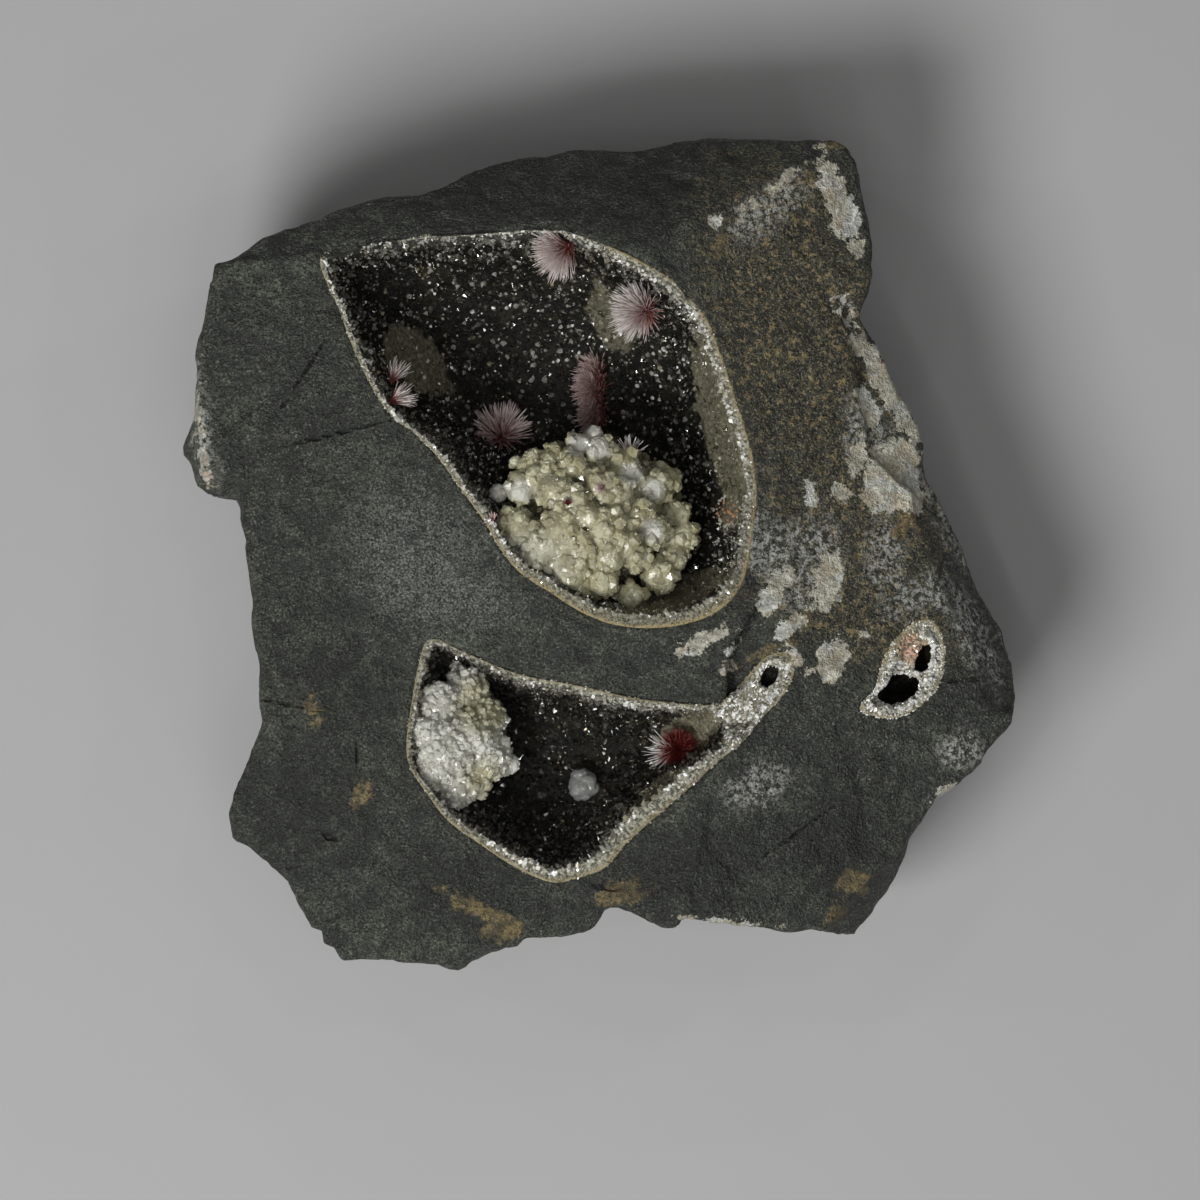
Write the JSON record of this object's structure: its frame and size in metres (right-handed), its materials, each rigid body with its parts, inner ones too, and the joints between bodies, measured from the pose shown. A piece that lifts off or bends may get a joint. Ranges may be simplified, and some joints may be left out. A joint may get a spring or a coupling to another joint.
{
  "type": "mineral specimen",
  "caption": "Dark basalt lump broken open on crystal-lined gas pockets holding glassy crystal clusters and small pink and white natrolite sprays, lying on its flat broken back.",
  "frame": {"origin": "under the middle of the outline, on the surface that the lump lies on", "axes": "+Z out of the broken face with the pockets, +X to the right and +Y up as that face is looked at"},
  "size_m": [0.1342, 0.134, 0.0557],
  "materials": {
    "basalt": "rough broken rock",
    "druzy_quartz": "sparkling",
    "pale_crystal": "glassy",
    "white_crystal": "glassy",
    "natrolite": "silky needles"
  },
  "bodies": {
    "root": {"basalt_matrix": "basalt", "quartz_lining_upper_pocket": "druzy_quartz", "quartz_lining_lower_pocket": "druzy_quartz", "quartz_lining_side_pocket": "druzy_quartz", "pale_crystal_cluster_upper": "pale_crystal", "white_crystal_cluster_lower": "white_crystal", "clear_ball_lower_pocket": "white_crystal", "natrolite_spray_top": "natrolite", "natrolite_spray_right": "natrolite", "natrolite_spray_tall_upper": "natrolite", "natrolite_spray_tall_lower": "natrolite", "natrolite_spray_left": "natrolite", "natrolite_tuft_wall_upper": "natrolite", "natrolite_tuft_wall_lower": "natrolite", "natrolite_tuft_on_cluster": "natrolite", "natrolite_spray_lower_pocket": "natrolite"}
  },
  "joints": []
}
